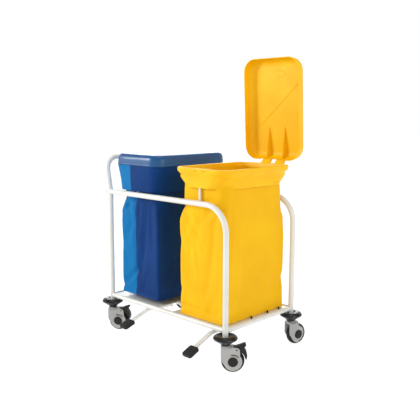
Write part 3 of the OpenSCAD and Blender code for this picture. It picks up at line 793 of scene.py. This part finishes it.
def fold_cloth(piece, colour, centre, bottom):
    """Presses the long folds and a fine crumple into the cloth, fading towards hoop and foot."""
    normals = [v.normal.copy() for v in piece.data.vertices]
    for v, normal in zip(piece.data.vertices, normals):
        x, y, z = (v.co.x - centre.x) / MM, v.co.y / MM, v.co.z / MM
        ends = (min(1, max(0, (FOLD_TOP - z) / TOP_FADE))
                * min(1, max(0, (v.co.z - bottom) / MM / FOOT_FADE)))
        if not ends:
            continue
        front = max(0, -normal.y)
        cell = noise.voronoi(v.co * 6.5)[0]
        crease = max(0, 1 - (cell[1] - cell[0]) / 0.22)
        soft = 0.5 + 0.5 * noise.noise(v.co * 9)
        deep = (1.6 + 2.6 * front) * crease * soft + (1.5 + 2.5 * front) * soft
        for side, start, end, depth, width in FOLDS[colour]:
            across, facing = (x, front) if side == "front" else (y, max(0, normal.x))
            run = Vector((end[0] - start[0], end[1] - start[1]))
            at = Vector((across - start[0], z - start[1]))
            t = max(0, min(1, at.dot(run) / run.length_squared))
            away = (at - run * t).length
            deep += FOLD_DEEPEN * facing * depth * max(0, 1 - away / width) * (1 - 0.5 * t)
        v.co -= normal * (deep * ends * MM)
    piece.data.update()


CUFF_LOW = 724 * MM      # just above the top rail
CUFF_REAR = 150 * MM     # the cuff is open behind this


def add_cuff(colour):
    """The bag's spare hem, drawn out over the collar in front and at the sides and let hang."""
    centre = UNITS[colour]
    top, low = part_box(f"{colour}_lid")[1].z - LID_DEPTH - 1.5 * MM, CUFF_LOW
    collar_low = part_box(f"{colour}_collar")[0].z
    rings = []
    count = 15
    for i in range(count + 1):
        z = top + (low - top) * i / count
        t = min(1, (top - z) / (top - collar_low))
        u = max(0, (collar_low - z) / (collar_low - low))
        half_x, half_y = 161.8 - 8.5 * t - 5.5 * u, 234.6 - 6.0 * t - 6.5 * u
        rings.append([p + Vector((0, (5 - 5 * u) * MM, 0)) for p in
                      even_ring(half_x * MM, half_y * MM, (57 + 8 * t) * MM, z)])
    kept = [i for i, p in enumerate(rings[0]) if p.y < CUFF_REAR]
    gap = next(k for k in range(len(kept) - 1) if kept[k + 1] - kept[k] > 1) + 1
    kept = kept[gap:] + kept[:gap]
    bm = bmesh.new()
    rows = [[bm.verts.new(points[i] + Vector((centre.x, 0, 0))) for i in kept]
            for points in rings]
    for high, under in zip(rows, rows[1:]):
        for k in range(len(kept) - 1):
            bm.faces.new((high[k], high[k + 1], under[k + 1], under[k]))
    bmesh.ops.recalc_face_normals(bm, faces=bm.faces)
    area = sum(face.calc_area() for face in bm.faces)
    piece = finish_piece(f"{colour}_bag_cuff", bm, f"{colour}_fabric", "frame", sharp=60)
    inner = [v.co.copy() for v in piece.data.vertices]
    hang(piece, top - 2 * MM, colour, 0.0, -0.10)
    for v, first in zip(piece.data.vertices, inner):
        # the hem stays outside the collar and its posts, and above the rail
        out = Vector((first.x - centre.x, first.y * 0.6, 0)).normalized()
        short = (first - v.co).dot(out)
        if short > 0:
            v.co += out * short
        v.co.z = max(low - 1.0 * MM, min(v.co.z, top))
    return piece


CLOTH_FRAMES = 22
SEAM_X, SEAM_Y, SEAM_WIDE = 126 * MM, 195 * MM, 14 * MM    # a bag's stiff corners start here


def hang(piece, pin_z, colour, pressure, slack_most, centre=None, foot_z=0.0):
    """Cloth under gravity, held above pin_z, cut a little longer than the drop so that it folds.

    A bag, given with its centre, is also held below foot_z, and its corners are half stiff.
    """
    pins = piece.vertex_groups.new(name="pins")
    slack = piece.vertex_groups.new(name="slack")
    shift = Vector((3.1 if colour == "blue" else 0, 0, 0))
    for v in piece.data.vertices:
        hold = 1.0 if v.co.z > pin_z or v.co.z < foot_z else 0.0
        loose = 1.0
        if centre:
            away = Vector((abs(v.co.x - centre.x) - SEAM_X, abs(v.co.y) - SEAM_Y))
            seam = min(away) / SEAM_WIDE
            hold = max(hold, min(0.6, seam))
            loose = 0.4 + 0.6 * max(0.0, -v.normal.y)
        pins.add([v.index], max(0.0, hold), "REPLACE")
        wave = 0.5 + 0.9 * noise.noise(v.co * 7 + shift)
        slack.add([v.index], max(0.0, min(1.0, wave)) * loose, "REPLACE")
    cloth = piece.modifiers.new("cloth", "CLOTH")
    settings = cloth.settings
    settings.quality = 5
    settings.mass = 0.15
    settings.tension_stiffness = 60
    settings.compression_stiffness = 60
    settings.shear_stiffness = 20
    settings.bending_stiffness = 1.2
    settings.air_damping = 2.0
    settings.vertex_group_mass = "pins"
    settings.vertex_group_shrink = "slack"
    settings.shrink_min = 0.0
    settings.shrink_max = slack_most
    if pressure:
        settings.use_pressure = True
        settings.uniform_pressure_force = pressure
    cloth.collision_settings.use_collision = False
    for number in range(1, CLOTH_FRAMES + 1):
        scene.frame_set(number)
    settled = bpy.data.meshes.new_from_object(
        piece.evaluated_get(bpy.context.evaluated_depsgraph_get()))
    piece.modifiers.clear()
    piece.data = settled
    scene.frame_set(1)


def keep_clear(piece, centre_x, bottom):
    """Holds the settled cloth between the rails, inside the posts and above its shelf."""
    for v in piece.data.vertices:
        if v.co.z > NECK_TOP:
            continue
        limit = NECK_MAX_Y if v.co.z > NECK_LOW else BAG_MAX_Y
        v.co.y = max(-limit, min(limit, v.co.y))
        v.co.x = centre_x + max(-BAG_MAX_X, min(BAG_MAX_X, v.co.x - centre_x))
        v.co.z = max(bottom - 0.4 * MM, v.co.z)
    piece.data.update()


# ---------------------------------------------------------------- casters

def caster_place(corner):
    """Matrix from a caster's own axes, X trailing and Y across, to the frame's."""
    pivot = Vector(JOINTS[f"swivel_{corner}"]["pos_m"])
    axle = Vector(JOINTS[f"spin_{corner}"]["pos_m"])
    trail = axle - pivot
    return (Matrix.Translation((pivot.x, pivot.y, 0))
            @ Matrix.Rotation(math.atan2(trail.y, trail.x), 4, "Z"))


TRAIL, WHEEL_R = 32 * MM, 50 * MM
CHEEK_Y, CHEEK_T = 16 * MM, 5 * MM
BRAKE_AT = (48 * MM, 102.5 * MM)


def scaled(points):
    return [(x * MM, y * MM) for x, y in points]


def cheek_outlines(braked):
    """A fork cheek in XZ: straight front edge and round foot; a braked one runs on behind."""
    body = [(-19, 113.5), (-19.5, 62), (-16, 52), (-6, 38)]
    hole = arc(TRAIL, WHEEL_R, 6.2 * MM, 0, 345, 23)
    if not braked:
        body += arc(32, 50, 39.5, 222, 274, 14) + arc(32, 50, 22.5, -58, 74, 14)
        body += [(36, 86), (33, 100), (28, 113.5)]
        return [scaled(body), hole]
    body += arc(32, 50, 39.5, 222, 400, 30)
    body += [(62, 92), (60, 105), (52, 111), (34, 113.5)]
    window = arc(32, 50, 33.5, 42, 112, 14) + arc(26.5, 80.5, 4, 160, 290, 6)
    window += arc(33.5, 46, 30.5, 100, 44, 12)
    return [scaled(body), scaled(window), hole, arc(*BRAKE_AT, 3.4 * MM, 0, 340, 17)]


def add_fork(corner):
    braked = corner.startswith("front")
    parts = []
    for side in (-1, 1):
        cheek = plate(cheek_outlines(braked), CHEEK_T, 1.1 * MM)
        place = Matrix.Translation((0, side * (CHEEK_Y + CHEEK_T / 2), 0))
        parts.append((cheek, caster_place(corner) @ place @ ACROSS))
        boss = plate([arc(TRAIL, WHEEL_R, 22.5 * MM, 0, 352.5, 47),
                      arc(TRAIL, WHEEL_R, 21.4 * MM, 0, 352.5, 47)], 1.4 * MM, 0.3 * MM)
        place = Matrix.Translation((0, side * (CHEEK_Y + CHEEK_T + 0.5 * MM), 0))
        parts.append((boss, caster_place(corner) @ place @ ACROSS))
    head = rounded_outline(scaled([(-19.5, -21), (34, -21), (34, 21), (-19.5, 21)]), 7 * MM)
    hole = arc(0, 0, 8.2 * MM, 0, 345, 23)
    parts.append((plate([head, hole], 10.5 * MM, 2 * MM),
                  caster_place(corner) @ Matrix.Translation((0, 0, 108.8 * MM))))
    neck = plate([arc(0, 0, 19 * MM, 0, 352.5, 47), hole], 5.5 * MM, 1.2 * MM)
    parts.append((neck, caster_place(corner) @ Matrix.Translation((0, 0, 114.2 * MM))))
    finish_piece(f"fork_{corner}_moulding", merge(parts), "grey_plastic", f"caster_{corner}",
                 [f"fork_{corner}"], sharp=30)


def brake_outline():
    """The brake in XZ about its pivot: tread on top, and a guard behind the wheel."""
    top = [(-5, 3), (-3, 11), (6, 15), (20, 18), (33, 24), (40, 23), (40, 17), (32.5, 9),
           (34, 1), (41, -8), (45.5, -28), (41.5, -45.5)]
    outer = rounded_outline(top, 4, 4)[5:]
    wheel_x, wheel_z = -16, -52.5
    first = math.degrees(math.atan2(-45.5 - wheel_z, 38 - wheel_x))
    inner = [(wheel_x + 54 * math.cos(a), wheel_z + 54 * math.sin(a))
             for a in (math.radians(first + (74 - first) * i / 16) for i in range(17))]
    return scaled(outer + inner)


def add_brake(corner):
    pivot = Matrix.Translation((BRAKE_AT[0], 0, BRAKE_AT[1]))
    place = caster_place(corner) @ pivot
    half = CHEEK_Y - 0.6 * MM
    parts = [(plate([brake_outline()], 2 * half, 1.6 * MM), place @ ACROSS)]
    for i in range(4):
        rib = [Vector(((16 + 5.5 * i) * MM, y, (18.6 + 1.9 * i) * MM)) for y in
               (-half + 3 * MM, 0, half - 3 * MM)]
        parts.append((tube_along(rib, 1.1 * MM, 8), place))
    pin = [Vector((0, y, 0)) for y in (-CHEEK_Y - CHEEK_T + 1 * MM, 0, CHEEK_Y + CHEEK_T - 1 * MM)]
    parts.append((tube_along(pin, 3 * MM, 20), place))
    finish_piece(f"brake_{corner}_moulding", merge(parts), "black_plastic", f"brake_{corner}",
                 [f"brake_pedal_{corner}"], sharp=30)


# ---------------------------------------------------------------- pedals

PAD_SLOPE = 18.5        # degrees below level, with the pedal up


def add_pad(colour):
    """A rubber pad with round corners and cross ribs, tilted as its bar is."""
    lo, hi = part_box(f"{colour}_pedal_pad")
    tilt = PAD_SLOPE + rest_turn(f"{colour}_pedal_press")
    place = (Matrix.Translation((lo + hi) / 2) @ Matrix.Rotation(math.radians(tilt), 4, "X"))
    half_w, half_l, thick = 26 * MM, 30 * MM, 15.5 * MM
    outline = [(p.x, p.y) for p in ring(half_w, half_l, 10 * MM, 0, steps=(8, 2))]
    parts = [(plate([outline], thick, 3.2 * MM, 5), place @ Matrix.Translation((0, 0, -1.2 * MM)))]
    for i in range(-3, 4):
        y = i * 7.4 * MM
        rib = [Vector((x, y, 6.6 * MM)) for x in (-half_w + 6 * MM, 0, half_w - 6 * MM)]
        parts.append((tube_along(rib, 1.7 * MM, 10), place))
    finish_piece(f"{colour}_pad_rubber", merge(parts), "black_rubber", f"{colour}_pedal",
                 [f"{colour}_pedal_pad"], sharp=32)


# ---------------------------------------------------------------- welds

def saddle(end, along, post_axis, tube_r, post_r, bead_r):
    """The bead where a tube of tube_r, running along from a post's axis, leaves the post."""
    w = Vector(along).normalized()
    v = Vector(post_axis).normalized()
    u = v.cross(w)
    points = []
    for k in range(40):
        a = 2 * math.pi * k / 40
        off = tube_r * math.cos(a)
        reach = math.sqrt(max(post_r ** 2 - off ** 2, 0))
        points.append(Vector(end) + u * off + v * (tube_r * math.sin(a)) + w * reach)
    return tube_along(points, bead_r, 8, closed=True)


HANDLE_LEAN = 11        # degrees


def add_welds():
    """Fillet beads at the joints of the frame, all in one piece."""
    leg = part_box("leg_front_left")
    leg_x = abs((leg[0].x + leg[1].x) / 2)
    leg_y = abs((leg[0].y + leg[1].y) / 2)
    tube_r = (leg[1].x - leg[0].x) / 2
    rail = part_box("base_rail_front")
    base_z = (rail[0].z + rail[1].z) / 2
    base_r = (rail[1].z - rail[0].z) / 2
    top_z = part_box("side_frame_front")[1].z - tube_r
    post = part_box("collar_posts")
    parts = []
    for sx in (-1, 1):
        for sy in (-1, 1):
            at = (sx * leg_x, sy * leg_y, base_z)
            parts.append(saddle(at, (-sx, 0, 0), (0, 0, 1), base_r, tube_r + 0.4 * MM, 1.9 * MM))
            parts.append(saddle(at, (0, -sy, 0), (0, 0, 1), base_r, tube_r + 0.4 * MM, 1.9 * MM))
    for sy in (-1, 1):
        at = (-leg_x, sy * leg_y, top_z)
        parts.append(saddle(at, (0, 0, -1), (1, 0, 0), tube_r, tube_r + 0.2 * MM, 1.7 * MM))
        lean = math.radians(HANDLE_LEAN)
        parts.append(saddle(at, (-math.sin(lean), 0, math.cos(lean)),
                            (math.cos(lean), 0, math.sin(lean)), tube_r, tube_r + 0.2 * MM,
                            1.7 * MM))
        for colour in UNITS:
            x = UNITS[colour].x
            y = sy * (post[1].y - 6 * MM)
            for z in (top_z - 5 * MM, top_z + 5 * MM):
                seam = [Vector((x + side * 6 * MM, y + sy * 2.5 * MM, z)) for side in (-1, 1)]
                parts.append(tube_along(seam, 1.5 * MM, 8))
    whole = merge([(bm, Matrix.Identity(4)) for bm in parts])
    finish_piece("weld_beads", whole, "white_steel", "frame", sharp=60)


# ---------------------------------------------------------------- putting it together

add_camera()
add_world(1.0, 0.3)
add_softbox("key", (-2.8, -2.8, 2.1), (0, 0, 0.6), (1.3, 1.3), 100)
add_softbox("fill", (3.4, -0.4, 2.0), (0, 0, 0.5), (1.8, 1.8), 24)
add_softbox("top", (0, 0.3, 3.6), (0, 0, 0.5), (3, 3), 40)
add_softbox("behind", (-2.6, 2.8, 2.1), (-0.1, 0, 0.8), (2.4, 1.0), 60)
scene.view_settings.view_transform = "Standard"

floor_mesh = bpy.data.meshes.new("floor")
floor_bm = bmesh.new()
bmesh.ops.create_grid(floor_bm, x_segments=1, y_segments=1, size=30)
floor_bm.to_mesh(floor_mesh)
floor_bm.free()
floor = bpy.data.objects.new("floor", floor_mesh)
scene.collection.objects.link(floor)
floor_look = Shader("floor_paint", Roughness=0.8, Specular_IOR_Level=0.05,
                    Emission_Color=(1, 1, 1, 1), Emission_Strength=0.93)
floor_look.join(floor_look.blend(floor_look.cloud(1.3, 2), rgb(118, 118, 118), rgb(126, 126, 126)),
                "Base Color")
floor_mesh.materials.append(floor_look.material)

dress_frame()
for unit in UNITS:
    add_collar(unit)
    add_lid(unit)
    add_bag(unit)
    add_pad(unit)
add_cuff("blue")
for place_name in ("front_right", "front_left", "rear_right", "rear_left"):
    add_fork(place_name)
    if place_name.startswith("front"):
        add_brake(place_name)
add_welds()
